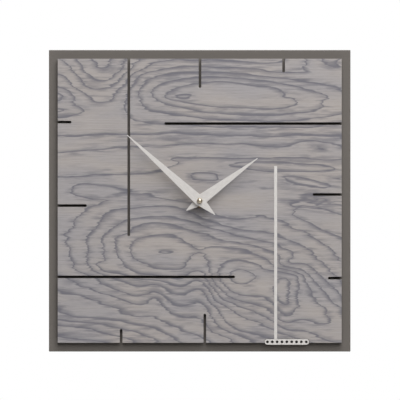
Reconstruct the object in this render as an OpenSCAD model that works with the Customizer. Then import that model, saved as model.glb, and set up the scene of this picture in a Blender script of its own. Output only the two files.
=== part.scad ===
// Square wall clock: a lacquered back board, a slotted veneer face and a quartz movement.
// Millimetres. The clock hangs on the wall: +Z is up, +X is the viewer's right and the face
// looks towards -Y. The origin is the keyhole in the hanger plate, on the board's rear face.
// Every module below is drawn lying down, x right, y up and z towards the viewer, with z = 0
// on the board's rear face and the hands' axis at x = y = 0. stand_up() then hangs it.

/* [Board and face] */
// Side of the square back board
board_side = 300; // [280:1:320]
// Thickness of the back board
board_depth = 16; // [16:1:18]
// Border of board left showing round the face panel
border = 9; // [6:0.5:14]
// Thickness of the veneered face panel
panel_depth = 6; // [5:0.5:6]
// Width of the cut hour marks
slot_w = 2.6; // [2:0.1:3]
// How far the four long marks run past the centre line
long_reach = 35; // [30:1:40]
// Length of the marks at twelve, three, six and nine
quarter_mark = 28.8; // [20:0.2:32]
// Length of the short marks
hour_mark = 13.6; // [10:0.2:20]

/* [Light strip] */
// Width of the pale strip let into the face
strip_w = 3; // [2.4:0.1:3.4]
// Height of the strip above the face panel
strip_proud = 0.4; // [0.2:0.1:0.8]
// Length of the pierced bar at the foot of the strip
foot_len = 44; // [36:1:50]
// Height of that bar
foot_h = 5.5; // [5:0.5:7]
// Number of round holes in the bar
foot_holes = 9; // [5:1:10]

/* [Hands] */
// Axis to tip of the minute hand
minute_len = 97; // [80:1:105]
// Axis to the tail point of the minute hand
minute_tail = 20.5; // [16:0.5:24]
// Greatest width of the minute hand
minute_w = 10; // [9:0.5:12]
// Where the minute hand points, clockwise from twelve
minute_angle = 312.2; // [0:0.1:359]
// Axis to tip of the hour hand
hour_len = 71; // [60:1:76]
// Axis to the tail point of the hour hand
hour_tail = 16.3; // [14:0.5:20]
// Greatest width of the hour hand
hour_w = 10.8; // [9:0.5:12]
// Where the hour hand points, clockwise from twelve
hour_angle = 53.7; // [0:0.1:359]
// Thickness of both hands
hand_t = 0.6; // [0.4:0.1:0.8]

/* [Hanging] */
// Height of the keyhole above the hands' axis
hanger_height = 105; // [95:1:120]
// Radius of the keyhole's round hole
keyhole_r = 4.5; // [4:0.25:5]
// Width of the keyhole's neck
neck_w = 4.2; // [3.6:0.1:4.4]
// How far the rubber bumpers stand off the wall side
bumper_h = 2; // [1.8:0.1:3]

/* [Hidden] */
$fn = 64;

eps = 0.01;                 // overshoot of a cut past the face it opens
fit = 0.05;                 // running clearance of a pivot, on the radius
half_board = board_side / 2;
half_panel = half_board - border;
face_z = board_depth + panel_depth;

// The movement's housing, centred on the hands' axis
case_w = 56;
case_rear = 0.2;
case_front = 15.2;
wall = 1.2;
inner = case_w / 2 - wall;
front_wall = 1;
front_in = case_front - front_wall;
cover_t = 1.2;
cover_in = case_rear + cover_t;
cutout_w = 64;
bay_top = -11.4;            // inner face of the wall above the battery
bay_front = 14.5;           // the housing is thinner in front of the battery

// AA cell
cell_r = 7.1;
cell_body = 49.2;
cell_nub = 1.3;
cell_y = -19.2;
cell_z = 7.25;
sleeve_t = 0.1;
cell_x0 = -24.9;

// Radii of the nested arbors on the hands' axis
arbor_r = 1.5;
thread_r = 1.2;
pipe_in_r = 1.6;
pipe_r = 2.55;
pipe_nose_r = 2.3;
tube_in_r = 2.65;
tube_r = 4;
tube_end = face_z + 6.8;
hour_seat = tube_end + 0.4;
hour_z = hour_seat + 0.3;
minute_seat = hour_seat + 3.2;
minute_z = minute_seat + 0.3;
cap_z = minute_z + hand_t;
pivot_r = 0.4;
nut_flats = 12;
nut_t = 2.2;

// Toothed wheels: module and tooth count
motion_m = 0.3;
cannon_n = 15;
motion_n = 45;
motion_pinion_n = 12;
hour_n = 48;
setting_n = 12;
third_m = 0.25;
seconds_pinion_n = 8;
third_n = 64;
seconds_n = 50;
third_pinion_n = 8;
centre_n = 60;
intermediate_pinion_n = 10;
rotor_m = 0.22;
intermediate_n = 48;
rotor_n = 8;
motion_gap = motion_m * (cannon_n + motion_n) / 2;
centre_m = 2 * motion_gap / (third_pinion_n + centre_n);

// Arbor places, as direction from the neighbour's axis and distance
motion_dir = 150;
third_dir = 120;
intermediate_dir = 2.5;
rotor_dir = 49.4;
motion_at = polar(motion_gap, motion_dir);
setting_at = motion_at + polar(motion_m * (motion_n + setting_n) / 2, motion_dir);
third_at = polar(third_m * (seconds_pinion_n + third_n) / 2, third_dir);
intermediate_at = polar(third_m * (seconds_n + intermediate_pinion_n) / 2, intermediate_dir);
rotor_at = intermediate_at + polar(rotor_m * (intermediate_n + rotor_n) / 2, rotor_dir);

// Levels of the train, rear face of each layer
rotor_z = 5.3;
seconds_z = 6.5;
third_z = 7.8;
centre_z = 9.1;
plate_z = 10.4;
plate_t = 0.8;
motion_z = 11.7;
hour_wheel_z = 13;
wheel_t = 0.7;
stator_z = 3.3;
stator_t = 1;
bridge_z = 7.6;
board_z = 3.4;
board_t = 0.8;

// Coil, at the viewer's right of the rotor
coil_x = 21.5;
foot_y = [-5.25, 15.25];
bobbin_y = [-3.3, 13.3];

function polar(r, a) = [r * cos(a), r * sin(a)];
function slot_len(reach) = half_panel + reach;
// Turn of a wheel that brings its teeth into mesh with one already set
function mesh(n1, a1, n2, dir) = dir + 180 - 360 / n2 * (0.5 - (dir - a1) * n1 / 360);

// Marks of the face: side (quarter turns clockwise from the top), offset along it, length
MARKS = [
    [0, -70.4, slot_len(long_reach)], [0, 0.3, quarter_mark], [0, 83.3, hour_mark],
    [1, -76.6, slot_len(long_reach)], [1, -6.2, quarter_mark], [1, 76.8, hour_mark],
    [2, -5.1, quarter_mark], [2, 78, hour_mark],
    [3, -75.6, slot_len(long_reach)], [3, -4.8, quarter_mark], [3, 78.1, hour_mark]];
strip_x = 75.4;
strip_top = long_reach - 0.4;
foot_x = 86.5;
foot_y0 = -142.8;
foot_gap = 0.3;             // clearance round the bar in the face panel

module stand_up() { translate([0, 0, -hanger_height]) rotate([90, 0, 0]) children(); }
module slab(size, z0, z1) { translate([-size[0] / 2, -size[1] / 2, z0]) cube([size[0], size[1], z1 - z0]); }
module box(x0, x1, y0, y1, z0, z1) { translate([x0, y0, z0]) cube([x1 - x0, y1 - y0, z1 - z0]); }
module rod(at, r, z0, z1) { translate([at[0], at[1], z0]) cylinder(h = z1 - z0, r = r); }
module ring(at, r_in, r_out, z0, z1) {
    difference() { rod(at, r_out, z0, z1); rod(at, r_in, z0 - eps, z1 + eps); }
}

// Involute spur wheel, three points on each flank, slightly thin so that the train runs free
module wheel(n, m, a, z0, z1) {
    pressure = 28;
    base = m * n / 2 * cos(pressure);
    root = m * n / 2 - 1.05 * m;
    tip = m * n / 2 + 0.78 * m;
    half_pitch = 90 / n - 180 * 0.05 * m / (PI * m * n / 2) * 2;
    function roll(r) = r <= base ? 0 : sqrt(pow(r / base, 2) - 1) * 180 / PI - acos(base / r);
    function flank(r) = half_pitch + roll(m * n / 2) - roll(r);
    radii = [root, max(base, m * n / 2 - 0.35 * m), m * n / 2 + 0.15 * m, tip];
    pts = [for (k = [0 : n - 1], side = [-1, 1], i = [0 : 3])
        let (r = side < 0 ? radii[i] : radii[3 - i]) polar(r, a + k * 360 / n + side * flank(r))];
    translate([0, 0, z0]) linear_extrude(z1 - z0) polygon(pts);
}

// ---- board and face ----

module mark(side, offset, length) {
    rotate(-90 * side) {
        box(offset - slot_w / 2, offset + slot_w / 2, half_panel - length + slot_w / 2,
            half_panel + 1, board_depth - 1, face_z + 1);
        rod([offset, half_panel - length + slot_w / 2], slot_w / 2, board_depth - 1, face_z + 1);
    }
}

pocket_w = 16;
pocket_low = -6.5;
pocket_high = 18;
pocket_floor = 8;
plate_w = 24;
plate_low = -13;
plate_high = 25;
hanger_t = 1.2;
hanger_screw_y = [-9.5, 21.5];
hanger_screw_r = 1.25;
bumper_r = 5;
bumper_at = half_board - 13;

module back_board() color([0.38, 0.36, 0.33]) difference() {
    slab([board_side, board_side], 0, board_depth);
    slab([cutout_w, cutout_w], -1, board_depth + 1);
    translate([0, hanger_height, 0]) {
        box(-plate_w / 2, plate_w / 2, plate_low, plate_high, -1, hanger_t);
        box(-pocket_w / 2, pocket_w / 2, pocket_low, pocket_high, hanger_t - eps, pocket_floor);
        for (y = hanger_screw_y) rod([0, y], hanger_screw_r, hanger_t - eps, 12);
    }
}

module face_panel() color([0.63, 0.61, 0.6]) difference() {
    slab([2 * half_panel, 2 * half_panel], board_depth, face_z);
    rod([0, 0], tube_r + 0.2, board_depth - 1, face_z + 1);
    for (m = MARKS) mark(m[0], m[1], m[2]);
    box(strip_x - strip_w / 2 - fit, strip_x + strip_w / 2 + fit, -half_panel - 1,
        strip_top + fit, board_depth - 1, face_z + 1);
    foot_bar(foot_gap, board_depth - 1, face_z + 1);
}

// The bar at the foot of the strip, with round ends, grown all round
module foot_bar(grow, z0, z1) {
    end = foot_len / 2 - foot_h / 2;
    box(foot_x - end, foot_x + end, foot_y0 - grow, foot_y0 + foot_h + grow, z0, z1);
    for (s = [-1, 1]) rod([foot_x + s * end, foot_y0 + foot_h / 2], foot_h / 2 + grow, z0, z1);
}

module light_strip() color([0.86, 0.85, 0.83]) {
    bar_y = foot_y0 + foot_h / 2;
    end = foot_len / 2 - foot_h / 2;
    top = face_z + strip_proud;
    pitch = 2 * end / (foot_holes - 1);
    difference() {
        union() {
            box(strip_x - strip_w / 2, strip_x + strip_w / 2, bar_y, strip_top, board_depth, top);
            foot_bar(0, board_depth, top);
        }
        for (k = [0 : foot_holes - 1])
            rod([foot_x - end + k * pitch, bar_y], foot_h / 4, board_depth - 1, top + 1);
    }
}

module hanger_plate() color("silver") translate([0, hanger_height, 0]) difference() {
    box(-plate_w / 2 + fit, plate_w / 2 - fit, plate_low + fit, plate_high - fit, 0, hanger_t);
    rod([0, 0], keyhole_r, -1, hanger_t + 1);
    box(-neck_w / 2, neck_w / 2, 0, 9, -1, hanger_t + 1);
    rod([0, 9], neck_w / 2, -1, hanger_t + 1);
    for (y = hanger_screw_y) rod([0, y], 1.7, -1, hanger_t + 1);
}

// Two pan-head screws with a straight driving slot
module hanger_screws() color("silver") translate([0, hanger_height, 0])
    for (y = hanger_screw_y) difference() {
        union() {
            rod([0, y], hanger_screw_r, -0.3, 11);
            rod([0, y], 2.8, -1.3, 0);
        }
        translate([0, y, -1.3]) slab([6, 0.7], -eps, 0.6);
    }

module wall_bumpers() color([0.2, 0.2, 0.2])
    for (x = [-1, 1], y = [-1, 1])
        translate([x * bumper_at, y * bumper_at, -bumper_h]) rotate_extrude()
            polygon([[0, 0], [bumper_r - 0.8, 0], [bumper_r, 0.8], [bumper_r, bumper_h], [0, bumper_h]]);

// ---- movement housing ----

snap_y = [-4, 18];
snap_w = 6;
post_r = 1.7;
posts = [[-24.6, 25], [24.6, 25], [-24.6, -7.6], [24.6, -7.6]];
strip_gap_w = 1.4;

module movement_case() color([0.12, 0.12, 0.13]) difference() {
    union() {
        difference() {
            slab([case_w, case_w], case_rear, case_front);
            slab([2 * inner, 2 * inner], case_rear - 1, front_in);
        }
        box(-inner - eps, inner + eps, bay_top, bay_top + wall, cover_in, front_in + eps);
        for (p = posts) rod(p, post_r, plate_z + plate_t, front_in + eps);
        for (p = [motion_at, setting_at]) rod(p, 1.2, front_in - 0.2, front_in + eps);
    }
    rod([0, 0], tube_in_r, front_in - 1, case_front + 1);
    box(-inner, inner, -inner, bay_top, front_in - 1, bay_front);
    for (p = [motion_at, setting_at]) rod(p, pivot_r + fit, front_in - 1, case_front - 0.3);
    for (p = posts) rod(p, 0.8, plate_z, front_in - 0.4);
    for (s = [-1, 1], y = snap_y)
        translate([s * (inner + wall / 2), y, 0]) slab([2 * wall, snap_w + 0.4], case_rear + 0.2, cover_in - 0.1);
    for (s = [-1, 1]) translate([s * (inner - strip_gap_w / 2), bay_top + wall / 2, 0])
        slab([strip_gap_w + eps, 2 * wall], cover_in - 1, front_in - 2);
}

cover_low = -10.3;
knob_z = [-1.4, 0];

module movement_cover() color([0.14, 0.14, 0.15]) difference() {
    union() {
        box(-inner + 0.1, inner - 0.1, cover_low, inner - 0.1, case_rear, cover_in);
        for (s = [-1, 1], y = snap_y)
            translate([s * (inner - 0.1 + wall / 3), y, 0])
                slab([2 * wall / 3, snap_w], case_rear + 0.3, cover_in - 0.3);
        rod([0, 0], 1.2, cover_in - eps, 3);
        rod(third_at, 1.2, cover_in - eps, 4);
        rod(intermediate_at, 1.2, cover_in - eps, 3);
        rod(rotor_at, 1.2, cover_in - eps, 2.6);
    }
    for (p = [[0, 0], third_at, intermediate_at, rotor_at]) rod(p, pivot_r + fit, 0.8, 5);
    rod(setting_at, 0.9, -1, 2);
}

// Threaded brass tube moulded into the housing's front wall
module centre_tube() color([0.8, 0.66, 0.35]) {
    ring([0, 0], tube_in_r, tube_r, case_front, tube_end);
    ring([0, 0], tube_in_r, 5.6, case_front, case_front + 0.2);
}

module rubber_washer() color([0.1, 0.1, 0.1]) ring([0, 0], tube_r + 0.1, 9, case_front + 0.2, board_depth);

module centre_nut() color([0.8, 0.66, 0.35]) difference() {
    intersection() {
        rotate(30) translate([0, 0, face_z]) cylinder(h = nut_t, r = nut_flats / sqrt(3), $fn = 6);
        translate([0, 0, face_z]) cylinder(h = nut_t, r1 = nut_flats / sqrt(3), r2 = nut_flats / 2 + 0.35);
    }
    rod([0, 0], tube_r, face_z - 1, face_z + nut_t + 1);
}

// ---- hands ----

// Flat kite: a long point, a short tail point and its greatest width at the axis
module hand(length, tail, width, widest, hole_r, angle, z) {
    tip = 0.35;
    rotate(-angle) difference() {
        translate([0, 0, z]) linear_extrude(hand_t)
            polygon([[-tip, length], [tip, length], [width / 2, widest], [tip, -tail],
                [-tip, -tail], [-width / 2, widest]]);
        rod([0, 0], hole_r, z - 1, z + hand_t + 1);
    }
}

collet_r = 3.3;
minute_collet_r = 2.1;

module hour_hand() color([0.86, 0.85, 0.83]) hand(hour_len, hour_tail, hour_w, 1, collet_r, hour_angle, hour_z);
module hour_hand_collet() color([0.8, 0.66, 0.35])
    ring([0, 0], pipe_nose_r, collet_r, hour_seat, hour_z + hand_t + 0.2);
module minute_hand() color([0.86, 0.85, 0.83])
    hand(minute_len, minute_tail, minute_w, 0, minute_collet_r, minute_angle, minute_z);
module minute_hand_collet() color([0.8, 0.66, 0.35])
    ring([0, 0], thread_r, minute_collet_r, minute_seat, minute_z + hand_t);

// Domed nut that closes the end of the minute arbor
cap_r = 2.8;
cap_skirt = 1.1;
module cap_nut() color([0.85, 0.75, 0.55]) translate([0, 0, cap_z]) difference() {
    union() {
        cylinder(h = cap_skirt, r = cap_r);
        translate([0, 0, cap_skirt]) intersection() {
            sphere(r = cap_r);
            cylinder(h = cap_r + 1, r = cap_r + 1);
        }
    }
    translate([0, 0, -1]) cylinder(h = 2.8, r = thread_r);
}

// ---- motion work, behind the housing's front wall ----

cannon_turn = 0;
motion_turn = mesh(cannon_n, cannon_turn, motion_n, motion_dir);
hour_turn = mesh(motion_pinion_n, 0, hour_n, motion_dir + 180);
setting_turn = mesh(motion_n, motion_turn, setting_n, motion_dir);

module hour_wheel() color([0.93, 0.93, 0.9]) difference() {
    union() {
        wheel(hour_n, motion_m, hour_turn, hour_wheel_z, hour_wheel_z + 0.9);
        rod([0, 0], pipe_r, hour_wheel_z, hour_seat);
        rod([0, 0], pipe_nose_r, hour_seat - eps, hour_seat + 1.6);
    }
    rod([0, 0], pipe_in_r, hour_wheel_z - 1, hour_seat + 3);
}

module motion_wheel() color([0.93, 0.93, 0.9]) translate([motion_at[0], motion_at[1], 0]) {
    wheel(motion_n, motion_m, motion_turn, motion_z, motion_z + wheel_t);
    wheel(motion_pinion_n, motion_m, 0, motion_z + wheel_t - eps, hour_wheel_z + 0.9);
    rod([0, 0], 0.9, plate_z + plate_t + 0.1, motion_z + eps);
    rod([0, 0], pivot_r, plate_z + 0.1, case_front - 0.4);
}

module minute_arbor() color([0.93, 0.93, 0.9]) difference() {
    union() {
        rod([0, 0], 1.9, centre_z - 0.35, centre_z - 0.05);
        rod([0, 0], 1.2, centre_z - 0.1, minute_seat);
        rod([0, 0], arbor_r, centre_z + wheel_t + 0.4, minute_seat);
        wheel(cannon_n, motion_m, cannon_turn, motion_z - 0.1, motion_z + wheel_t + 0.1);
        rod([0, 0], thread_r, minute_seat - eps, cap_z + 1.6);
    }
    rod([0, 0], pivot_r + fit, centre_z - 1, centre_z + 0.8);
}

// Sprung washer whose grip turns the minute arbor and slips when the hands are set
module clutch_spring() color("silver") difference() {
    rod([0, 0], 2.4, centre_z + wheel_t + 0.06, centre_z + wheel_t + 0.36);
    rod([0, 0], 1.2 + fit, centre_z, centre_z + 2);
    for (k = [0 : 2]) rotate(120 * k) translate([2.1, 0, 0]) slab([1, 0.6], centre_z, centre_z + 2);
}

// ---- going train ----

seconds_turn = 0;
pinion_turn = 0;
intermediate_pinion_turn = mesh(seconds_n, seconds_turn, intermediate_pinion_n, intermediate_dir);
rotor_turn = mesh(intermediate_n, 0, rotor_n, rotor_dir);
third_turn = mesh(seconds_pinion_n, pinion_turn, third_n, third_dir);
centre_turn = mesh(third_pinion_n, 0, centre_n, third_dir + 180);
conductor = 0.4;            // thickness of the battery contacts

module train_plate() color([0.9, 0.9, 0.88]) difference() {
    union() {
        box(-26.4, 26.4, -9.8, 26.4, plate_z, plate_z + plate_t);
        for (y = foot_y) {
            rod([coil_x, y], 1.3, stator_z + 2 * stator_t, plate_z + eps);
            rod([coil_x, y], 0.6, stator_z - 0.3, plate_z);
        }
        for (p = [[-21, 22], [4, 22]]) {
            rod(p, 1.3, board_z + board_t, plate_z + eps);
            rod(p, 0.6, board_z - 0.3, plate_z);
        }
        // Drop bridge that carries the front pivots of the rotor and its wheel
        box(13.4, 15, -1.5, 7, bridge_z, plate_z + eps);
        box(intermediate_at[0], 15, -0.9, 1.5, bridge_z, bridge_z + plate_t);
        box(rotor_at[0], 15, 3.8, 6.2, bridge_z, bridge_z + plate_t);
        rod(intermediate_at, 1.3, bridge_z, bridge_z + plate_t);
        rod(rotor_at, 1.3, bridge_z, bridge_z + plate_t);
    }
    rod([0, 0], arbor_r + 0.1, plate_z - 1, plate_z + 2);
    for (p = [motion_at, third_at]) rod(p, pivot_r + fit, plate_z - 1, plate_z + 2);
    rod(setting_at, 0.9, plate_z - 1, plate_z + 2);
    for (p = [intermediate_at, rotor_at]) rod(p, pivot_r + fit, bridge_z - 1, bridge_z + 2);
    for (p = posts) rod(p, 0.9, plate_z - 1, plate_z + 2);
}

module train_plate_screws() color("silver")
    for (p = posts) difference() {
        union() { rod(p, 0.75, plate_z - 0.1, front_in - 1); rod(p, 1.6, plate_z - 0.9, plate_z); }
        translate([p[0], p[1], plate_z - 0.9]) slab([4, 0.5], -eps, 0.4);
    }

// Wheel with round lightening holes
module spoked(n, m, a, z0, z1, holes, hole_r, at_r) {
    difference() {
        wheel(n, m, a, z0, z1);
        for (k = [0 : holes - 1]) rod(polar(at_r, (k + 0.5) * 360 / holes), hole_r, z0 - 1, z1 + 1);
    }
}

module centre_wheel() color([0.93, 0.93, 0.9]) difference() {
    spoked(centre_n, centre_m, centre_turn, centre_z, centre_z + wheel_t, 5, 1.4, 5.1);
    rod([0, 0], 1.2 + fit, centre_z - 1, centre_z + 2);
}

module third_wheel() color([0.93, 0.93, 0.9]) translate([third_at[0], third_at[1], 0]) {
    spoked(third_n, third_m, third_turn, third_z, third_z + wheel_t, 5, 1.4, 5);
    wheel(third_pinion_n, centre_m, 0, centre_z - 0.1, centre_z + wheel_t + 0.1);
    rod([0, 0], 0.7, 4.1, centre_z + wheel_t + 0.3);
    rod([0, 0], pivot_r, cover_in + 0.1, plate_z + plate_t - 0.1);
}

module seconds_wheel() color([0.93, 0.93, 0.9]) {
    spoked(seconds_n, third_m, seconds_turn, seconds_z, seconds_z + wheel_t, 4, 1.3, 3.7);
    wheel(seconds_pinion_n, third_m, pinion_turn, third_z - 0.1, third_z + wheel_t + 0.1);
    rod([0, 0], 0.65, 3.1, third_z + wheel_t + 0.1);
    rod([0, 0], pivot_r, cover_in + 0.1, centre_z + 0.7);
}

module intermediate_wheel() color([0.93, 0.93, 0.9])
    translate([intermediate_at[0], intermediate_at[1], 0]) {
        spoked(intermediate_n, rotor_m, 0, rotor_z, rotor_z + wheel_t, 4, 1, 3.3);
        wheel(intermediate_pinion_n, third_m, intermediate_pinion_turn,
            seconds_z - 0.1, seconds_z + wheel_t + 0.1);
        rod([0, 0], 0.8, 3.1, seconds_z + wheel_t + 0.2);
        rod([0, 0], pivot_r, cover_in + 0.1, bridge_z + plate_t - 0.1);
    }

module rotor_pinion() color([0.93, 0.93, 0.9]) translate([rotor_at[0], rotor_at[1], 0]) {
    wheel(rotor_n, rotor_m, rotor_turn, rotor_z - 0.1, rotor_z + wheel_t + 0.1);
    rod([0, 0], 0.55, 2.7, rotor_z + wheel_t + 0.5);
    rod([0, 0], pivot_r, cover_in + 0.1, bridge_z + plate_t - 0.1);
}

module rotor_magnet() color([0.35, 0.35, 0.37]) ring(rotor_at, 0.55, 3, 2.9, 4.7);

// ---- coil and circuit ----

// C-shaped pole piece: a ring round the magnet, two limbs and two feet under the coil core
module stator() color("silver") difference() {
    union() {
        rod(rotor_at, 4.9, stator_z, stator_z + stator_t);
        box(9.8, 15.5, -7, 17, stator_z, stator_z + stator_t);
        for (y = foot_y) box(9.8, 24, y - 1.75, y + 1.75, stator_z, stator_z + stator_t);
    }
    rod(rotor_at, 3.4, stator_z - 1, stator_z + 2);
    for (s = [-1, 1]) rod(rotor_at + s * [4.9, 0], 1.1, stator_z - 1, stator_z + 2);
    for (y = foot_y) rod([coil_x, y], 0.65, stator_z - 1, stator_z + 2);
}

core_z = [stator_z + stator_t, stator_z + 2 * stator_t];
core_mid = stator_z + 1.5 * stator_t;
module coil_core() color("silver") difference() {
    box(coil_x - 1.5, coil_x + 1.5, foot_y[0] - 1.75, foot_y[1] + 1.75, core_z[0], core_z[1]);
    for (y = foot_y) rod([coil_x, y], 0.65, core_z[0] - 1, core_z[1] + 1);
}

module coil_bobbin() color([0.9, 0.88, 0.8]) translate([coil_x, 0, core_mid]) rotate([-90, 0, 0])
    difference() {
        union() {
            translate([0, 0, bobbin_y[0]]) cylinder(h = bobbin_y[1] - bobbin_y[0], r = 1.9);
            for (y = [bobbin_y[0], bobbin_y[1] - 0.6]) translate([0, 0, y]) cylinder(h = 0.6, r = 3.1);
        }
        slab([3 + 2 * fit, stator_t + 2 * fit], bobbin_y[0] - 1, bobbin_y[1] + 1);
    }

// Enamelled wire, wound in fine round turns
winding_r = 2.7;
turn = 0.5;
module coil_winding() color([0.72, 0.35, 0.15]) translate([coil_x, 0, core_mid]) rotate([-90, 0, 0])
    rotate_extrude() polygon(concat(
        [[1.9 + fit, bobbin_y[1] - 0.65], [1.9 + fit, bobbin_y[0] + 0.65]],
        [for (k = [0 : floor((bobbin_y[1] - bobbin_y[0] - 1.3) / turn) - 1], s = [0, 1])
            [winding_r + 0.1 * s, bobbin_y[0] + 0.65 + (k + s / 2) * turn]],
        [[winding_r, bobbin_y[1] - 0.65]]));

module circuit_board() color([0.12, 0.35, 0.2]) difference() {
    union() {
        box(-25.6, 8, 12.6, 25.8, board_z, board_z + board_t);
        box(8 - eps, 25.6, 19, 25.8, board_z, board_z + board_t);
    }
    for (p = [[-21, 22], [4, 22]]) rod(p, 0.65, board_z - 1, board_z + 2);
}

module circuit_chip() color([0.1, 0.1, 0.1]) {
    box(-11, -5, 15, 19, board_z + board_t + 0.15, board_z + board_t + 1.6);
    for (k = [0 : 3], s = [-1, 1])
        box(-10.4 + 1.4 * k, -9.8 + 1.4 * k, 17 + s * 2.5 - 0.6, 17 + s * 2.5 + 0.6,
            board_z + board_t, board_z + board_t + 0.5);
}

module quartz_crystal() color("silver") translate([-2.5, 16.5, board_z + board_t + 1.05]) rotate([0, 90, 0]) {
    cylinder(h = 6, r = 1);
    translate([0, 0, -0.5]) cylinder(h = 0.6, r = 0.8);
    for (s = [-1, 1]) translate([0, 0.45 * s, -1.2]) cylinder(h = 0.8, r = 0.15);
}

// Sprung strip along the side wall, from the battery to the circuit board
module terminal_strip(bulge, reach) {
    translate([0, cell_y, cell_z]) rotate([-90, 0, 0]) translate([0, 0, -4]) linear_extrude(8)
        polygon([[0, -4], [conductor, -4], [bulge, 0], [conductor, 4], [0, 4], [0, 3.4],
            [bulge - conductor, 0], [0, -3.4]]);
    box(0, conductor, cell_y - 4, 22, cover_in + 0.2, cover_in + 2.2);
    box(0, conductor, cell_y - 4, cell_y + 4, cover_in + 0.2, cell_z - 3.4);
    box(0, reach, 20.6, 22, board_z + board_t, board_z + board_t + 0.3);
    box(0, conductor, 20.6, 22, cover_in + 0.2, board_z + board_t + 0.3);
}

module terminal_negative() color("silver") translate([-inner + 0.05, 0, 0]) terminal_strip(1.8, 3);
module terminal_positive() color("silver") translate([inner - 0.05, 0, 0]) mirror([1, 0, 0]) terminal_strip(1.1, 3);

// ---- battery and hand setting ----

module battery_cell() color("silver") translate([cell_x0, cell_y, cell_z]) rotate([0, 90, 0]) rotate_extrude()
    polygon([[0, 0], [cell_r - 0.9, 0], [cell_r - sleeve_t - 0.02, 0.6],
        [cell_r - sleeve_t - 0.02, cell_body - 0.6], [cell_r - 0.9, cell_body], [2.75, cell_body],
        [2.75, cell_body + cell_nub - 0.3], [2.45, cell_body + cell_nub], [0, cell_body + cell_nub]]);

module battery_sleeve() color([0.75, 0.76, 0.78]) translate([cell_x0, cell_y, cell_z]) rotate([0, 90, 0])
    difference() {
        translate([0, 0, 0.7]) cylinder(h = cell_body - 1.4, r = cell_r);
        cylinder(h = cell_body, r = cell_r - sleeve_t);
    }

module setting_shaft() color([0.93, 0.93, 0.9]) translate([setting_at[0], setting_at[1], 0]) {
    wheel(setting_n, motion_m, setting_turn, motion_z - 0.1, motion_z + wheel_t + 0.1);
    rod([0, 0], 0.8, knob_z[1], motion_z);
    rod([0, 0], pivot_r, knob_z[0] + 0.3, case_front - 0.4);
}

module setting_knob() color([0.9, 0.9, 0.88]) translate([setting_at[0], setting_at[1], knob_z[0]]) {
    ridges = 36;
    difference() {
        linear_extrude(knob_z[1] - knob_z[0]) polygon([for (k = [0 : 2 * ridges - 1])
            polar(k % 2 == 0 ? 5.2 : 4.95, k * 180 / ridges)]);
        translate([0, 0, 0.3]) cylinder(h = 3, r = pivot_r);
        for (s = [-1, 1]) translate([3.1 * s, 0, -1]) cylinder(h = 1.4, r = 0.8);
    }
}

stand_up() back_board();
stand_up() face_panel();
stand_up() light_strip();
stand_up() hanger_plate();
stand_up() hanger_screws();
stand_up() wall_bumpers();
stand_up() movement_case();
stand_up() movement_cover();
stand_up() centre_tube();
stand_up() rubber_washer();
stand_up() centre_nut();
stand_up() hour_hand();
stand_up() hour_hand_collet();
stand_up() minute_hand();
stand_up() minute_hand_collet();
stand_up() cap_nut();
stand_up() hour_wheel();
stand_up() motion_wheel();
stand_up() minute_arbor();
stand_up() clutch_spring();
stand_up() train_plate();
stand_up() train_plate_screws();
stand_up() centre_wheel();
stand_up() third_wheel();
stand_up() seconds_wheel();
stand_up() intermediate_wheel();
stand_up() rotor_pinion();
stand_up() rotor_magnet();
stand_up() stator();
stand_up() coil_core();
stand_up() coil_bobbin();
stand_up() coil_winding();
stand_up() circuit_board();
stand_up() circuit_chip();
stand_up() quartz_crystal();
stand_up() terminal_positive();
stand_up() terminal_negative();
stand_up() battery_cell();
stand_up() battery_sleeve();
stand_up() setting_shaft();
stand_up() setting_knob();
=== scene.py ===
"""Looks of a square wall clock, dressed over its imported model.

The clock is a lacquered board with a slotted veneer face, a pale inlaid strip, kite-shaped
hands and a quartz movement let into the board from behind. +Z is up, +X is the viewer's right
and the face looks towards -Y. Lengths are in metres, and in millimetres for the veneer's hills.
"""

import logging
import math
from abc import ABC, abstractmethod
from dataclasses import dataclass
from enum import Enum
from typing import Any, Callable, ClassVar, Optional, Sequence, Union

import bmesh
import bpy
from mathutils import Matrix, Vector


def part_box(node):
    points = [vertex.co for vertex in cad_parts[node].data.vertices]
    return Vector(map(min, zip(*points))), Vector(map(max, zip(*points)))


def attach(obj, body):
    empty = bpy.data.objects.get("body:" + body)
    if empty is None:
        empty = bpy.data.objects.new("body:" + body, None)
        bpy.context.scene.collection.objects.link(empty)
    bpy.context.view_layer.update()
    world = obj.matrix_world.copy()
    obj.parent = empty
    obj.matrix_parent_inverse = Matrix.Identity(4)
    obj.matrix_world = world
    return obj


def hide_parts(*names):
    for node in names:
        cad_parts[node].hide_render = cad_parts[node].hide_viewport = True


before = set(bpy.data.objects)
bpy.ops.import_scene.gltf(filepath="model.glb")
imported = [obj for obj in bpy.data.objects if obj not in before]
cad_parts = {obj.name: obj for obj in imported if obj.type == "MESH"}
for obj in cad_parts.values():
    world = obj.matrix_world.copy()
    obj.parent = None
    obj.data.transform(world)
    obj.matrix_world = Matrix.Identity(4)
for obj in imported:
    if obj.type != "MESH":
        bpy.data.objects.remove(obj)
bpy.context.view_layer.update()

LOG = logging.getLogger("wall_clock")
MM_PER_M = 1000.0
WELD = 2e-6
NORMAL_WEIGHT = 60
FLAT = math.radians(0.5)
SHARP = math.radians(35.0)
FORWARD = Vector((0.0, -1.0, 0.0))
ALONG = Vector((1.0, 0.0, 0.0))

Number = Union["Value", float]
Colour = tuple[float, float, float]
EdgeTest = Callable[[bmesh.types.BMEdge], bool]


class Body(Enum):
    """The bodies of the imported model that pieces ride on."""

    CLOCK = "clock"
    MINUTE = "minute_hand_group"
    HOUR = "hour_hand_group"
    SETTING = "setting_group"
    BATTERY = "battery"


class Noise(Enum):
    """How many octaves a noise pattern has."""

    SMOOTH = 0.0
    FINE = 3.0
    ROUGH = 6.0


# ---------------------------------------------------------------- shader expressions


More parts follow.
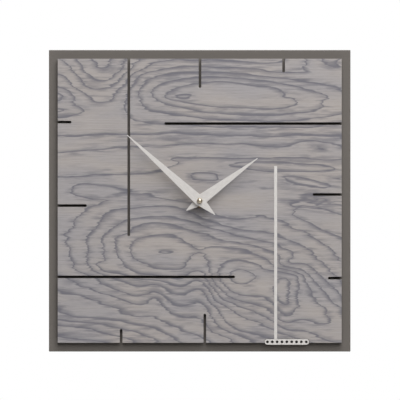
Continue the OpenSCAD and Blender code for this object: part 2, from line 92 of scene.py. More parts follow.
class Value:
    """A number that varies over a surface; Python's arithmetic on it adds Math nodes."""

    def __init__(self, sheet: "Sheet", socket: bpy.types.NodeSocket) -> None:
        """Wraps an output socket of one node sheet.

        Args:
            sheet: The sheet that the socket belongs to.
            socket: The output socket that carries the number.
        """
        self.sheet = sheet
        self.socket = socket

    def _math(self, operation: str, *others: Number, flip: bool = False) -> "Value":
        """Adds one Math node.

        Args:
            operation: The Math node's operation.
            others: The operands after this one.
            flip: Whether this value is the second operand.

        Returns:
            The node's result.
        """
        operands = (*others, self) if flip else (self, *others)
        made = self.sheet.node("ShaderNodeMath", {"operation": operation}, dict(enumerate(operands)))
        return Value(self.sheet, made.outputs[0])

    def __add__(self, other: Number) -> "Value":
        """Returns self + other."""
        return self._math("ADD", other)

    def __sub__(self, other: Number) -> "Value":
        """Returns self - other."""
        return self._math("SUBTRACT", other)

    def __rsub__(self, other: Number) -> "Value":
        """Returns other - self."""
        return self._math("SUBTRACT", other, flip=True)

    def __mul__(self, other: Number) -> "Value":
        """Returns self * other."""
        return self._math("MULTIPLY", other)

    def __truediv__(self, other: Number) -> "Value":
        """Returns self / other."""
        return self._math("DIVIDE", other)

    def __neg__(self) -> "Value":
        """Returns -self."""
        return self._math("MULTIPLY", -1.0)

    def __abs__(self) -> "Value":
        """Returns the size of self without its sign."""
        return self._math("ABSOLUTE")

    __radd__ = __add__

    def scaled(self, by: Number, plus: Number) -> "Value":
        """Returns self * by + plus in one node."""
        return self._math("MULTIPLY_ADD", by, plus)

    def exp(self) -> "Value":
        """Returns e to the power of self."""
        return self._math("EXPONENT")

    def root(self) -> "Value":
        """Returns the square root of self."""
        return self._math("SQRT")

    def sine(self) -> "Value":
        """Returns the sine of self, in radians."""
        return self._math("SINE")

    def fraction(self) -> "Value":
        """Returns what is left of self above the whole number below it."""
        return self._math("FRACT")

    def at_least(self, other: Number) -> "Value":
        """Returns the larger of self and other."""
        return self._math("MAXIMUM", other)

    def at_most(self, other: Number) -> "Value":
        """Returns the smaller of self and other."""
        return self._math("MINIMUM", other)

    def ramp(self, low: float, high: float, start: float = 0.0, end: float = 1.0) -> "Value":
        """Eases from one level to another as self passes between two limits.

        Args:
            low: Where the change begins.
            high: Where the change is complete.
            start: The level at low.
            end: The level at high.

        Returns:
            The eased value, held level outside the limits.
        """
        made = self.sheet.node(
            "ShaderNodeMapRange",
            {"interpolation_type": "SMOOTHSTEP"},
            {"Value": self, "From Min": low, "From Max": high, "To Min": start, "To Max": end},
        )
        return Value(self.sheet, made.outputs[0])


class Nodes:
    """A node tree, with the one method that adds nodes to it."""

    def __init__(self, tree: bpy.types.NodeTree) -> None:
        """Clears the tree.

        Args:
            tree: The node tree to lay out.
        """
        self.tree = tree
        self.tree.nodes.clear()

    def node(self, kind: str, settings: dict[str, Any], inputs: dict[Any, Any]) -> bpy.types.Node:
        """Adds a node.

        Args:
            kind: The node's type.
            settings: Attributes of the node, set before its sockets are filled.
            inputs: What each input socket gets, by name or number: a value or a link.

        Returns:
            The new node.
        """
        made = self.tree.nodes.new(kind)
        for name, setting in settings.items():
            setattr(made, name, setting)
        for name, content in inputs.items():
            self.fill(made.inputs[name], content)
        return made

    def fill(self, socket: bpy.types.NodeSocket, content: Any) -> None:
        """Links or sets one input socket.

        Args:
            socket: The input to fill.
            content: A Value, an output socket, a number, a colour or a vector.
        """
        if isinstance(content, Value):
            content = content.socket
        if isinstance(content, bpy.types.NodeSocket):
            self.tree.links.new(content, socket)
        elif isinstance(content, tuple) and socket.type == "RGBA":
            socket.default_value = (*content, 1.0)
        else:
            socket.default_value = content


class Sheet(Nodes):
    """The nodes of one material, with a method for each kind of step."""

    def __init__(self, material: bpy.types.Material) -> None:
        """Adds the material's shader and output, and the point on the piece in the clock's own frame.

        Args:
            material: The material whose nodes are laid out.
        """
        material.use_nodes = True
        super().__init__(material.node_tree)
        self.shader = self.node("ShaderNodeBsdfPrincipled", {}, {})
        self.node("ShaderNodeOutputMaterial", {}, {"Surface": self.shader.outputs[0]})
        self.place = self.node("ShaderNodeTexCoord", {}, {}).outputs["Object"]

    def axes(self, centre: Vector) -> tuple[Value, Value, Value]:
        """Gives the point's three coordinates from a centre.

        Args:
            centre: The point that all three are counted from.

        Returns:
            The x, y and z distances.
        """
        moved = self.node("ShaderNodeVectorMath", {"operation": "SUBTRACT"}, {0: self.place, 1: centre})
        split = self.node("ShaderNodeSeparateXYZ", {}, {0: moved.outputs[0]})
        return Value(self, split.outputs[0]), Value(self, split.outputs[1]), Value(self, split.outputs[2])

    def noise(self, per_metre: Sequence[float], seed: float, detail: Noise = Noise.FINE) -> Value:
        """Adds a noise pattern, centred on 0.

        Args:
            per_metre: How many cells of noise there are in a metre along x, y and z.
            seed: Which of its many patterns it is.
            detail: How many octaves it has.

        Returns:
            The noise, from about -0.5 to 0.5.
        """
        grown = self.node("ShaderNodeMapping", {}, {"Vector": self.place, "Scale": tuple(per_metre)})
        made = self.node(
            "ShaderNodeTexNoise",
            {"noise_dimensions": "4D"},
            {"Vector": grown.outputs[0], "W": seed, "Scale": 1.0, "Detail": detail.value},
        )
        return Value(self, made.outputs["Fac"]) - 0.5

    def mix(self, share: Number, first: Any, second: Any) -> bpy.types.NodeSocket:
        """Mixes two colours.

        Args:
            share: How much of the second colour there is.
            first: A colour or a link.
            second: A colour or a link.

        Returns:
            The mixed colour's socket.
        """
        made = self.node("ShaderNodeMix", {"data_type": "RGBA"}, {0: share, 6: first, 7: second})
        return made.outputs[2]

    def shade(self, colour: Any, by: Value) -> bpy.types.NodeSocket:
        """Makes a colour lighter or darker.

        Args:
            colour: The colour or link to change.
            by: The factor, near 1.

        Returns:
            The changed colour's socket.
        """
        rgb = self.node("ShaderNodeCombineXYZ", {}, {0: by, 1: by, 2: by})
        made = self.node(
            "ShaderNodeMix",
            {"data_type": "RGBA", "blend_type": "MULTIPLY"},
            {0: 1.0, 6: colour, 7: rgb.outputs[0]},
        )
        return made.outputs[2]

    def bump(self, height: Value, depth: float) -> None:
        """Raises the surface.

        Args:
            height: The height pattern, from about 0 to 1.
            depth: What a height of 1 measures, in metres.
        """
        made = self.node("ShaderNodeBump", {}, {"Strength": 1.0, "Distance": depth, "Height": height})
        self.dress(Normal=made.outputs[0])

    def dress(self, **sockets: Any) -> None:
        """Fills sockets of the shader.

        Args:
            sockets: What each socket gets; an underscore in a name stands for a space.
        """
        for name, content in sockets.items():
            self.fill(self.shader.inputs[name.replace("_", " ")], content)


# ---------------------------------------------------------------- finishes


@dataclass(frozen=True)
class Finish(ABC):
    """A surface treatment that becomes one material.

    Attributes:
        slot: The record's material slot.
        colour: The main colour, linear.
        roughness: How matte it is.
    """

    slot: str
    colour: Colour
    roughness: float
    made: ClassVar[dict["Finish", bpy.types.Material]] = {}

    @abstractmethod
    def paint(self, sheet: Sheet) -> None:
        """Lays out the finish's nodes on a sheet.

        Args:
            sheet: The nodes to lay out.
        """

    @property
    def material(self) -> bpy.types.Material:
        """The finish's material, made once.

        Returns:
            The material.
        """
        if self not in Finish.made:
            material = bpy.data.materials.new(self.slot)
            self.paint(Sheet(material))
            Finish.made[self] = material
        return Finish.made[self]


@dataclass(frozen=True)
class Lacquer(Finish):
    """Sprayed satin lacquer on fine fibre board.

    Attributes:
        half_side: Half the side of the square board.
        centre: The middle of the board.
    """

    half_side: float
    centre: tuple[float, float, float]

    def paint(self, sheet: Sheet) -> None:
        """Adds sprayed grain, faint sanding lines and slightly rubbed edges.

        Args:
            sheet: The nodes to lay out.
        """
        x, _, z = sheet.axes(Vector(self.centre))
        cloud = sheet.noise((14, 14, 14), 1)
        spray = sheet.noise((900, 900, 900), 2)
        sanding = sheet.noise((24, 600, 1500), 3, Noise.SMOOTH)
        edge = abs(x).at_least(abs(z)).ramp(self.half_side - 0.0012, self.half_side - 0.0001)
        rubbed = edge * sheet.noise((120, 120, 120), 4, Noise.ROUGH).ramp(-0.05, 0.2)
        tone = 1.0 + cloud * 0.05 + spray * 0.07 + sanding * 0.03
        lighter = (self.colour[0] * 1.3, self.colour[1] * 1.3, self.colour[2] * 1.32)
        sheet.dress(
            Base_Color=sheet.mix(rubbed * 0.5, sheet.shade(self.colour, tone), lighter),
            Roughness=self.roughness + spray * 0.12 + cloud * 0.06,
            Specular_IOR_Level=0.18,
        )
        sheet.bump(spray + sanding * 0.4, 0.00004)


@dataclass(frozen=True)
class Hill:
    """A swell or hollow in the trunk's growth layers, as the flat veneer cuts it, in millimetres.

    Attributes:
        x: Its middle, to the right of the hands' axis.
        z: Its middle, above the hands' axis.
        length: Its half-length along its own axis.
        height: Its half-height across it.
        turn: Degrees that it leans, counterclockwise.
        layers: How many growth layers it rises; a hollow's is negative.
    """

    x: float
    z: float
    length: float
    height: float
    turn: float
    layers: float


HILLS: tuple[Hill, ...] = (
    Hill(-10, 98, 400, 36, 0, 2.8),
    Hill(36, 106, 88, 20, -5, 4.4),
    Hill(42, 105, 44, 9, -3, -1.7),
    Hill(-20, 104, 14, 3.5, 0, 0.9),
    Hill(-96, 128, 32, 38, 0, -3.4),
    Hill(130, 146, 34, 20, -14, 2.8),
    Hill(-148, 104, 20, 8, 0, 1.2),
    Hill(-150, 89, 34, 4, 0, 0.8),
    Hill(-10, 61, 90, 5, 1, -0.6),
    Hill(35, 50, 95, 8, -1, -1.1),
    Hill(118, 54, 22, 6, -8, -1.2),
    Hill(-120, 39, 70, 10, 3, -0.9),
    Hill(-62, 34, 26, 6, 4, -0.7),
    Hill(-112, 11, 26, 8, 0, 1.1),
    Hill(5, 24, 18, 5, -4, 1.4),
    Hill(90, 34, 66, 5, -3, 1.5),
    Hill(110, 17, 50, 6, -12, 1.2),
    Hill(125, -22, 40, 10, -20, -0.9),
    Hill(24, -14, 44, 15, -26, -0.9),
    Hill(-48, -50, 66, 42, -6, 5.4),
    Hill(70, -84, 78, 46, -28, 6.0),
    Hill(36, -80, 22, 24, -20, 1.6),
    Hill(94, -76, 13, 8, 0, 1.1),
    Hill(86, -63, 14, 7, 0, -1.3),
    Hill(84, -100, 12, 30, 8, 1.4),
    Hill(0, -84, 12, 34, 4, -1.3),
    Hill(-44, -96, 12, 18, 0, -1.2),
    Hill(146, -136, 50, 30, -40, 2.8),
    Hill(38, -124, 26, 8, -14, 0.9),
    Hill(-112, -114, 52, 8, -4, 0.8),
    Hill(-97, -66, 14, 6, -20, 1.0),
    Hill(-112, -166, 124, 54, -12, -6.8),
)


@dataclass(frozen=True)
class Veneer(Finish):
    """Grey stained veneer whose growth layers show as fine contour lines.

    Attributes:
        centre: The hands' axis on the face.
        face_y: The depth of the veneered surface.
        cool: The ground colour where the stain is thick; the main colour is for thin stain.
        line: The colour of the latewood lines.
        core: The stained board under the veneer, which the cut edges show.
        base: The number of layers far from every hill.
        line_half: Half the width of a latewood line, in millimetres.
        feather: How far a line's stain runs on its upper side, in millimetres.
        haze: How far the smoky shade runs round a line, in millimetres.
        flattest: The least climb, in layers a millimetre, that keeps level ground free of blots.
        skin: The depths where the veneer gives way to the core.
    """

    centre: tuple[float, float, float]
    face_y: float
    cool: Colour
    line: Colour
    core: Colour

    base: ClassVar[float] = -2.0
    line_half: ClassVar[float] = 0.8
    feather: ClassVar[float] = 4.5
    haze: ClassVar[float] = 9.0
    flattest: ClassVar[float] = 0.028
    skin: ClassVar[tuple[float, float]] = (0.00055, 0.0007)

    def layers(self, x: Value, z: Value) -> tuple[Value, Value]:
        """Adds up the hills.

        Args:
            x: Millimetres right of the hands' axis.
            z: Millimetres above it.

        Returns:
            The number of layers at the point, and how many it climbs in a millimetre.
        """
        total: Number = self.base
        slope_x: Number = 0.0
        slope_z: Number = 0.0
        for hill in HILLS:
            c = math.cos(math.radians(hill.turn))
            s = math.sin(math.radians(hill.turn))
            a = (c / hill.length, s / hill.length)
            b = (-s / hill.height, c / hill.height)
            u = x.scaled(a[0], z.scaled(a[1], -hill.x * a[0] - hill.z * a[1]))
            v = x.scaled(b[0], z.scaled(b[1], -hill.x * b[0] - hill.z * b[1]))
            rise = (-u.scaled(u, v * v)).exp() * hill.layers
            total = total + rise
            slope_x = rise.scaled(u.scaled(-2 * a[0], v * (-2 * b[0])), slope_x)
            slope_z = rise.scaled(u.scaled(-2 * a[1], v * (-2 * b[1])), slope_z)
        return total, slope_x.scaled(slope_x, slope_z * slope_z).root()

    def paint(self, sheet: Sheet) -> None:
        """Adds the figure, its feathering, the fibres and the cut edge.

        Args:
            sheet: The nodes to lay out.
        """
        x, y, z = sheet.axes(Vector(self.centre))
        fibre = sheet.noise((25, 1, 640), 1)
        wander = sheet.noise((18, 1, 70), 2)
        drift = sheet.noise((20, 1, 90), 3)
        warped_x = x * MM_PER_M + fibre * 7.5 + wander * 8.0
        warped_z = z * MM_PER_M + drift * 6.0
        total, climb = self.layers(warped_x, warped_z)
        total = total + sheet.noise((14, 1, 100), 4) * 1.2
        above = total.fraction()
        climb = climb.at_least(self.flattest)
        near = above.at_most(1.0 - above) / climb
        mottle = sheet.noise((60, 1, 260), 5)
        ragged = (1.0 + mottle * 2.4 + fibre * 1.6).at_least(0.25)
        thread = (near / ragged).ramp(self.line_half * 0.2, self.line_half * 1.7, 1.0, 0.0)
        side = (above / climb / ragged).ramp(0.0, self.feather, 1.0, 0.0)
        streak = sheet.noise((22, 1, 800), 6, Noise.ROUGH)
        pore = sheet.noise((180, 1, 4200), 7)
        patch = sheet.noise((12, 1, 36), 8).ramp(-0.16, 0.16)
        fleck = sheet.noise((70, 1, 1300), 9)
        tone = 1.0 + streak * 0.45 + fleck * 0.4 + pore * 0.3
        ground = sheet.shade(sheet.mix(patch, self.colour, self.cool), tone)
        stain = sheet.noise((16, 1, 60), 10).ramp(-0.12, 0.12, 0.4, 0.85)
        wisp = sheet.noise((42, 1, 330), 11).ramp(-0.06, 0.14)
        smoke = near.ramp(0.0, self.haze, 0.6, 0.0) * wisp
        dark = (thread * 0.82).at_least(side * stain).at_least(smoke) + fleck * 0.35
        face = sheet.mix(dark.at_least(0.0).at_most(1.0), ground, self.line)
        cut = (y - (self.face_y - self.centre[1])).ramp(*self.skin)
        sheet.dress(
            Base_Color=sheet.mix(cut, face, self.core),
            Roughness=self.roughness + streak * 0.1 + dark * 0.06,
            Specular_IOR_Level=0.3,
        )
        sheet.bump(streak * 0.6 + pore * 0.5 - thread * 0.3, 0.00005)


@dataclass(frozen=True)
class Coating(Finish):
    """Off-white satin coating with a fine brushed tooth.

    Attributes:
        angle: Degrees that the brushing leans from the vertical, clockwise.
    """

    angle: float = 0.0

    def lines(self, sheet: Sheet, turned: bpy.types.Node, per_metre: tuple[float, float, float]) -> Value:
        """Draws one set of brush lines.

        Args:
            sheet: The material's sheet.
            turned: The mapping that lays the piece's length upright.
            per_metre: Lines in a metre across, through and along the piece.

        Returns:
            The lines' strength, about zero.
        """
        stretched = sheet.node("ShaderNodeMapping", {}, {"Vector": turned.outputs[0], "Scale": per_metre})
        noise = sheet.node(
            "ShaderNodeTexNoise", {}, {"Vector": stretched.outputs[0], "Scale": 1.0, "Detail": 2.0}
        )
        return Value(sheet, noise.outputs["Fac"]) - 0.5

    def paint(self, sheet: Sheet) -> None:
        """Adds fine lines along the piece, faint mottling and small variations in gloss.

        Args:
            sheet: The nodes to lay out.
        """
        upright = (0.0, -math.radians(self.angle), 0.0)
        turned = sheet.node("ShaderNodeMapping", {}, {"Vector": sheet.place, "Rotation": upright})
        brushed = self.lines(sheet, turned, (3200, 900, 160))
        streaks = self.lines(sheet, turned, (1100, 900, 220))
        mottle = sheet.noise((420, 420, 420), 1)
        sheet.dress(
            Base_Color=sheet.shade(self.colour, 1.0 + brushed * 0.22 + streaks * 0.3 + mottle * 0.08),
            Roughness=self.roughness + brushed * 0.16,
        )
        sheet.bump(brushed + mottle * 0.3, 0.00002)


@dataclass(frozen=True)
class Metal(Finish):
    """Plain, turned, plated or polished metal.

    Attributes:
        grain: Cells of surface grain in a metre along x, y and z.
        tarnish: How much darker the duller patches are.
        depth: Depth of the grain.
    """

    grain: tuple[float, float, float] = (900.0, 900.0, 900.0)
    tarnish: float = 0.15
    depth: float = 0.00001

    def paint(self, sheet: Sheet) -> None:
        """Adds surface grain, duller patches and fine scratches.

        Args:
            sheet: The nodes to lay out.
        """
        grain = sheet.noise(self.grain, 1)
        patch = sheet.noise((110, 110, 110), 2, Noise.ROUGH).ramp(-0.05, 0.2)
        scratch = sheet.noise((2600, 300, 500), 3, Noise.SMOOTH).ramp(0.16, 0.22)
        tone = 1.0 + grain * 0.12 - patch * self.tarnish
        sheet.dress(
            Base_Color=sheet.shade(self.colour, tone),
            Metallic=1.0,
            Roughness=(self.roughness + grain * 0.15 + patch * 0.12 + scratch * 0.08).at_least(0.05),
        )
        sheet.bump(grain + scratch * 0.3, self.depth)


@dataclass(frozen=True)
class Moulding(Finish):
    """Moulded plastic, rubber or resin.

    Attributes:
        texture: Cells of the mould's texture in a metre.
        depth: Depth of that texture.
        gloss: The specular level.
    """

    texture: float = 1800.0
    depth: float = 0.00002
    gloss: float = 0.5

    def paint(self, sheet: Sheet) -> None:
        """Adds the mould's spark texture, flow marks and scuffs.

        Args:
            sheet: The nodes to lay out.
        """
        spark = sheet.noise((self.texture,) * 3, 1)
        flow = sheet.noise((40, 40, 9), 2)
        scuff = sheet.noise((700, 700, 120), 3, Noise.SMOOTH).ramp(0.14, 0.22)
        sheet.dress(
            Base_Color=sheet.shade(self.colour, 1.0 + spark * 0.12 + flow * 0.1 + scuff * 0.06),
            Roughness=self.roughness + spark * 0.14 + flow * 0.1 - scuff * 0.06,
            Specular_IOR_Level=self.gloss,
        )
        sheet.bump(spark, self.depth)


@dataclass(frozen=True)
class Winding(Finish):
    """Enamelled copper wire in close turns along the vertical.

    Attributes:
        pitch: The height of one turn.
    """

    pitch: float = 0.00025

    def paint(self, sheet: Sheet) -> None:
        """Adds the turns, with painted shade in the slight gaps between them and a painted highlight on
        their crests, and the enamel's gloss.

        Args:
            sheet: The nodes to lay out.
        """
        _, _, z = sheet.axes(Vector((0.0, 0.0, 0.0)))
        # One rise and fall a turn: it raises the turns, paints shade into the gaps between them and paints
        # a highlight on their crests.
        turn_relief_and_shade = (z * (math.tau / self.pitch)).sine()
        lay = sheet.noise((30, 30, 900), 1)
        sheet.dress(
            Base_Color=sheet.shade(self.colour, 0.9 + turn_relief_and_shade * 0.16 + lay * 0.3),
            Roughness=self.roughness + lay * 0.12,
            Metallic=0.7,
        )
        sheet.bump(turn_relief_and_shade * 0.5, 0.00004)


@dataclass(frozen=True)
class Laminate(Finish):
    """Printed circuit board: solder mask over etched tracks.

    Attributes:
        track: The colour of the mask where copper runs under it.
    """

    track: Colour = (0.02, 0.12, 0.05)

    def paint(self, sheet: Sheet) -> None:
        """Adds straight tracks under the mask and a glass-cloth weave.

        Args:
            sheet: The nodes to lay out.
        """
        x, _, z = sheet.axes(Vector((0.0, 0.0, 0.0)))
        rows = (z * (math.tau / 0.0018)).sine().ramp(0.2, 0.35)
        columns = (x * (math.tau / 0.0026)).sine().ramp(0.5, 0.65)
        choose = sheet.noise((170, 1, 170), 1, Noise.SMOOTH).ramp(-0.02, 0.02)
        tracks = choose * rows + (1.0 - choose) * columns
        weave = (x * 9000.0).sine() * (z * 9000.0).sine()
        sheet.dress(
            Base_Color=sheet.mix(tracks * 0.8, self.colour, self.track),
            Roughness=self.roughness + weave * 0.03,
        )
        sheet.bump(tracks * 0.6 + weave * 0.1, 0.00003)


@dataclass(frozen=True)
class Label(Finish):
    """Plain shrink sleeve of a cell: a broad field and a narrow end band.

    Attributes:
        band: The colour of the end band.
        band_x: Where along the cell the band begins.
    """

    band: Colour
    band_x: float

    def paint(self, sheet: Sheet) -> None:
        """Adds the band, a thin bright line beside it, and handling marks.

        Args:
            sheet: The nodes to lay out.
        """
        x, _, _ = sheet.axes(Vector((self.band_x, 0.0, 0.0)))
        marks = sheet.noise((90, 90, 90), 1, Noise.ROUGH)
        line = abs(x).ramp(0.0003, 0.0005, 1.0, 0.0)
        field_colour = sheet.mix(x.ramp(-0.00005, 0.00005), self.colour, self.band)
        sheet.dress(
            Base_Color=sheet.shade(sheet.mix(line, field_colour, (0.7, 0.7, 0.68)), 1.0 + marks * 0.12),
            Roughness=self.roughness + marks * 0.2,
            Metallic=0.35,
        )
        sheet.bump(marks * 0.2, 0.00003)


@dataclass(frozen=True)
class FloorPaint(Finish):
    """Pale matte floor with a faint trowelled tone."""

    def paint(self, sheet: Sheet) -> None:
        """Adds broad, weak variations in tone and gloss.

        Args:
            sheet: The nodes to lay out.
        """
        broad = sheet.noise((3, 3, 3), 1)
        sheet.dress(
            Base_Color=sheet.shade(self.colour, 1.0 + broad * 0.04),
            Roughness=self.roughness + broad * 0.1,
        )


# ---------------------------------------------------------------- mesh work


class Workpiece:
    """A mesh under work, which bmesh operators shape before it becomes a piece."""

    def __init__(self, name: str) -> None:
        """Starts an empty mesh.

        Args:
            name: The finished piece's name.
        """
        self.name = name
        self.bm = bmesh.new()

    @classmethod
    def from_node(cls, name: str, node: str) -> "Workpiece":
        """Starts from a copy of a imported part, with its triangles joined into flat faces.

        Args:
            name: The finished piece's name.
            node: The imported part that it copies.

        Returns:
            The work piece.
        """
        work = cls(name)
        work.bm.from_mesh(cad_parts[node].data)
        bmesh.ops.remove_doubles(work.bm, verts=work.bm.verts, dist=WELD)
        bmesh.ops.dissolve_limit(
            work.bm, angle_limit=FLAT, verts=work.bm.verts, edges=work.bm.edges, delimit={"NORMAL"}
        )
        return work

    def soften(self, width: float, segments: int = 2, keep: Optional[EdgeTest] = None) -> "Workpiece":
        """Rounds the sharp edges.

        Args:
            width: Width of the rounding.
            segments: Steps across it.
            keep: Which of those edges are rounded; all of them when left out.

        Returns:
            The same work piece.
        """
        sharp = [
            edge
            for edge in self.bm.edges
            if len(edge.link_faces) == 2
            and edge.calc_face_angle(0.0) > SHARP
            and (keep is None or keep(edge))
        ]
        bmesh.ops.bevel(
            self.bm, geom=sharp, offset=width, offset_type="OFFSET", segments=segments, profile=0.5,
            affect="EDGES", clamp_overlap=True, material=-1, loop_slide=True,
        )
        return self

    def prism(self, outline: Sequence[tuple[float, float]], y_front: float, y_back: float) -> None:
        """Extrudes a flat outline through the clock's depth.

        Args:
            outline: The x and z places of its corners, in order.
            y_front: Depth of the side towards the viewer.
            y_back: Depth of the side towards the wall.
        """
        corners = [self.bm.verts.new((x, y_front, z)) for x, z in outline]
        face = self.bm.faces.new(corners)
        swept = bmesh.ops.extrude_face_region(self.bm, geom=[face])["geom"]
        moved = [g for g in swept if isinstance(g, bmesh.types.BMVert)]
        bmesh.ops.translate(self.bm, verts=moved, vec=(0.0, y_back - y_front, 0.0))
        bmesh.ops.recalc_face_normals(self.bm, faces=self.bm.faces)

    def turned(
        self, profile: Sequence[tuple[float, float]], centre: Vector, axis: Vector, steps: int, closed: bool
    ) -> "Workpiece":
        """Spins a profile round an axis, as on a lathe.

        Args:
            profile: Pairs of radius and place along the axis.
            centre: The point on the axis that places are counted from.
            axis: The axis, a unit vector.
            steps: How many steps the full turn has.
            closed: Whether the profile's last point joins its first.

        Returns:
            The same work piece.
        """
        across = axis.orthogonal().normalized()
        points = [self.bm.verts.new(centre + across * radius + axis * along) for radius, along in profile]
        pairs = list(zip(points, points[1:] + points[:1] if closed else points[1:]))
        edges = [self.bm.edges.new(pair) for pair in pairs]
        bmesh.ops.spin(
            self.bm, geom=[*points, *edges], cent=centre, axis=axis, angle=math.tau, steps=steps,
            use_merge=True,
        )
        bmesh.ops.remove_doubles(self.bm, verts=self.bm.verts, dist=WELD / 2)
        bmesh.ops.recalc_face_normals(self.bm, faces=self.bm.faces)
        return self

    def finish(
        self, finish: Finish, body: Body, replaces: Sequence[str], smooth_angle: float = 40.0
    ) -> bpy.types.Object:
        """Makes the piece, dresses it and hangs it on its body.

        Args:
            finish: Its surface treatment.
            body: The body that it moves with.
            replaces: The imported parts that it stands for.
            smooth_angle: The greatest fold that is still shaded smooth, in degrees.

        Returns:
            The finished piece.
        """
        mesh = bpy.data.meshes.new(self.name)
        self.bm.to_mesh(mesh)
        self.bm.free()
        mesh.polygons.foreach_set("use_smooth", [True] * len(mesh.polygons))
        mesh.set_sharp_from_angle(angle=math.radians(smooth_angle))
        piece = bpy.data.objects.new(self.name, mesh)
        bpy.context.scene.collection.objects.link(piece)
        piece.data.materials.append(finish.material)
        even = piece.modifiers.new("even_normals", "WEIGHTED_NORMAL")
        even.keep_sharp = True
        even.weight = NORMAL_WEIGHT
        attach(piece, body.value)
        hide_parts(*replaces)
        LOG.info("%s: %d faces", self.name, len(mesh.polygons))
        return piece


def rectangle(x: float, z: float, half_x: float, half_z: float) -> list[tuple[float, float]]:
    """Returns the corners of an upright rectangle about a middle."""
    return [(x + sx * half_x, z + sz * half_z) for sx, sz in ((-1, -1), (1, -1), (1, 1), (-1, 1))]


def middle(node: str) -> Vector:
    """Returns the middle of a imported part's box."""
    low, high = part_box(node)
    return (low + high) / 2


def softened(
    name: str, node: str, finish: Finish, body: Body, width: float, segments: int = 2,
    keep: Optional[EdgeTest] = None,
) -> None:
    """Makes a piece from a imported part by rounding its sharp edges.

    Args:
        name: The piece's name.
        node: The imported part.
        finish: Its surface treatment.
        body: The body that it moves with.
        width: Width of the rounding.
        segments: Steps across it.
        keep: Which sharp edges are rounded; all of them when left out.
    """
    Workpiece.from_node(name, node).soften(width, segments, keep).finish(finish, body, [node])


# ---------------------------------------------------------------- sub-assemblies


@dataclass
class BoardAssembly:
    """Back board, hanger plate with its screws, and the bumpers on the wall side."""

    lacquer: Finish
    zinc: Finish
    rubber: Finish
    edge_round: float = 0.0007
    outline_depth: float = 0.0001
    plate_round: float = 0.0002
    bumper_radius: float = 0.005
    bumper_foot: float = 0.0002
    bumper_lip: float = 0.0006
    bumper_crown: tuple[tuple[float, float], ...] = ((2.4, 0.0), (1.3, 0.25), (0.45, 1.0), (0.1, 2.0))
    bumper_steps: int = 48

    def build(self) -> None:
        """Builds every piece of the assembly."""
        self.build_board()
        softened("keyhole_plate", "hanger_plate", self.zinc, Body.CLOCK, self.plate_round)
        softened("plate_screws", "hanger_screws", self.zinc, Body.CLOCK, self.plate_round)
        self.build_bumpers()

    def build_board(self) -> None:
        """Rounds the lacquered board's edges."""
        low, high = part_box("back_board")

        def outer(edge: bmesh.types.BMEdge) -> bool:
            """Tells whether an edge is on the board's outline.

            Args:
                edge: An edge of the board.

            Returns:
                Whether its middle is within outline_depth of a side.
            """
            spot = (edge.verts[0].co + edge.verts[1].co) / 2
            reach = min(spot.x - low.x, high.x - spot.x, spot.z - low.z, high.z - spot.z)
            return reach < self.outline_depth

        softened("board", "back_board", self.lacquer, Body.CLOCK, self.edge_round, 3, outer)

    def build_bumpers(self) -> None:
        """Turns the four soft bumpers, crowned towards the wall."""
        low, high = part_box("wall_bumpers")
        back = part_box("back_board")[1].y
        tall = high.y - back
        radius, lip = self.bumper_radius, self.bumper_lip
        work = Workpiece("bumpers")
        crown = [(radius - inward * lip, tall - down * lip) for inward, down in self.bumper_crown]
        profile = [(0.0, tall), *crown, (radius, self.bumper_foot), (radius, 0.0), (0.0, 0.0)]
        for x in (low.x + radius, high.x - radius):
            for z in (low.z + radius, high.z - radius):
                work.turned(profile, Vector((x, back, z)), -FORWARD, self.bumper_steps, False)
        work.finish(self.rubber, Body.CLOCK, ["wall_bumpers"])


@dataclass
class FaceAssembly:
    """Veneered face panel with its cut marks, and the pale strip let into it."""

    veneer: Finish
    coating: Finish
    edge_round: float = 0.00013
    strip_round: float = 0.00035

    def build(self) -> None:
        """Builds the panel and the strip."""
        softened("face", "face_panel", self.veneer, Body.CLOCK, self.edge_round)
        softened("strip", "light_strip", self.coating, Body.CLOCK, self.strip_round)


